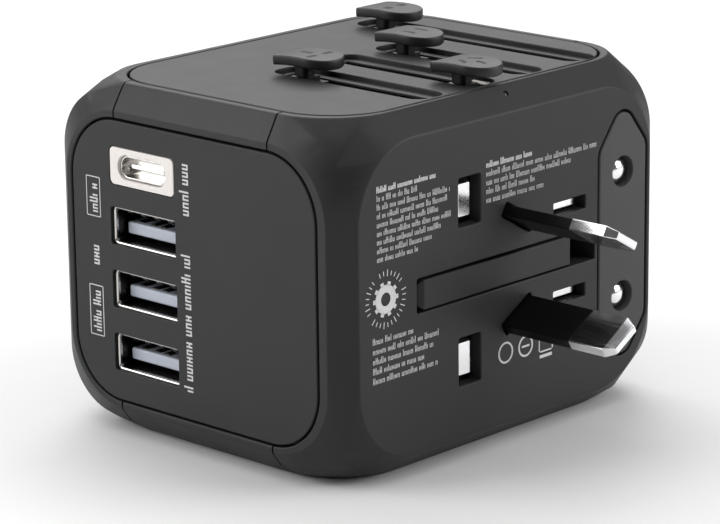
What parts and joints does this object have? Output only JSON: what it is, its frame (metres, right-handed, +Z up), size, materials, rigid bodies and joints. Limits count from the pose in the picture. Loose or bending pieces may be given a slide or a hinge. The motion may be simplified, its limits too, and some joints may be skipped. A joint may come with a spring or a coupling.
{
  "type": "universal travel adapter",
  "caption": "Box-shaped travel adapter with slide-out plug pins for several countries, a folding earth pin, USB ports on one side and a universal socket at the back.",
  "frame": {"origin": "centre of the flat face that the adapter rests on", "axes": "+Z up towards the slider knobs, -Y out of the pin face, +Y out of the socket face, -X out of the USB ports"},
  "size_m": [0.066, 0.0759, 0.0529],
  "materials": {
    "casing": "fine spark-eroded matte black-grey polycarbonate",
    "panel": "fine matte black-grey polycarbonate, a shade lighter than the casing",
    "plug_block": "matte mid-grey plastic",
    "knob": "matte black plastic",
    "inner_plastic": "black plastic, unseen",
    "sleeve": "semi-gloss black insulation",
    "pin_metal": "bright nickel plate with fine drawn lines",
    "screw_steel": "zinc-plated steel",
    "contact_brass": "bright spring brass",
    "port_shell": "bright nickel-plated steel sheet",
    "port_tongue": "pale blue-white plastic with gold contacts",
    "cream_insert": "cream-white plastic",
    "board": "green circuit board",
    "ferrite": "dark ferrite and resin",
    "capacitor_can": "blue sleeve",
    "light_lens": "clear-white light pipe"
  },
  "bodies": {
    "casing": {"pin_side_shell": "casing", "middle_frame": "casing", "socket_side_shell": "casing", "slider_panel": "panel", "usb_panel": "panel", "side_panel": "panel", "base_panel": "panel", "socket_block": "inner_plastic", "earth_pin_axle": "screw_steel", "case_screw_1": "screw_steel", "case_screw_2": "screw_steel", "case_screw_3": "screw_steel", "case_screw_4": "screw_steel", "live_contact": "contact_brass", "live_bus_bar": "contact_brass", "neutral_contact": "contact_brass", "neutral_bus_bar": "contact_brass", "eu_live_rail": "contact_brass", "eu_neutral_rail": "contact_brass", "usb_a_shell_1": "port_shell", "usb_a_shell_2": "port_shell", "usb_a_shell_3": "port_shell", "usb_c_shell": "port_shell", "usb_c_tongue": "port_shell", "usb_a_tongue_1": "port_tongue", "usb_a_tongue_2": "port_tongue", "usb_a_tongue_3": "port_tongue", "usb_c_bezel": "cream_insert", "usb_board": "board", "transformer": "ferrite", "resettable_fuse": "ferrite", "input_capacitor": "capacitor_can", "output_capacitor": "capacitor_can", "power_light": "light_lens"},
    "uk_set": {"uk_carrier": "inner_plastic", "uk_slider_knob": "knob", "uk_live_pin": "pin_metal", "uk_neutral_pin": "pin_metal", "uk_live_sleeve": "sleeve", "uk_neutral_sleeve": "sleeve"},
    "us_set": {"us_carrier": "inner_plastic", "us_slider_knob": "knob", "us_live_pin": "pin_metal", "us_neutral_pin": "pin_metal"},
    "aus_set": {"aus_carrier": "inner_plastic", "aus_slider_knob": "knob", "aus_live_pin": "pin_metal", "aus_neutral_pin": "pin_metal", "aus_live_sleeve": "sleeve", "aus_neutral_sleeve": "sleeve"},
    "eu_set": {"eu_carrier": "inner_plastic", "eu_slider_knob": "knob", "eu_live_pin": "pin_metal", "eu_neutral_pin": "pin_metal", "eu_live_sleeve": "sleeve", "eu_neutral_sleeve": "sleeve"},
    "eu_block": {"eu_plug_block": "plug_block"},
    "earth_pin": {"uk_earth_pin": "casing"}
  },
  "joints": [
    {"name": "uk_slide", "type": "slide", "parent": "casing", "child": "uk_set", "axis": [0, -1, 0], "range_m": [0, 0.0196]},
    {"name": "us_slide", "type": "slide", "parent": "casing", "child": "us_set", "axis": [0, -1, 0], "range_m": [0, 0.0196]},
    {"name": "aus_slide", "type": "slide", "parent": "casing", "child": "aus_set", "axis": [0, -1, 0], "range_m": [-0.0196, 0]},
    {"name": "eu_slide", "type": "slide", "parent": "casing", "child": "eu_set", "axis": [0, -1, 0], "range_m": [0, 0.034]},
    {"name": "eu_block_slide", "type": "slide", "parent": "casing", "child": "eu_block", "axis": [0, -1, 0], "range_m": [0, 0.0153]},
    {"name": "uk_earth_fold", "type": "hinge", "parent": "casing", "child": "earth_pin", "pos_m": [0.012, -0.0236, 0.025], "axis": [0, 0, 1], "range_deg": [0, 90]}
  ],
  "couplings": [
    {"joint": "eu_block_slide", "follows": "eu_slide", "ratio": 0.45}
  ]
}
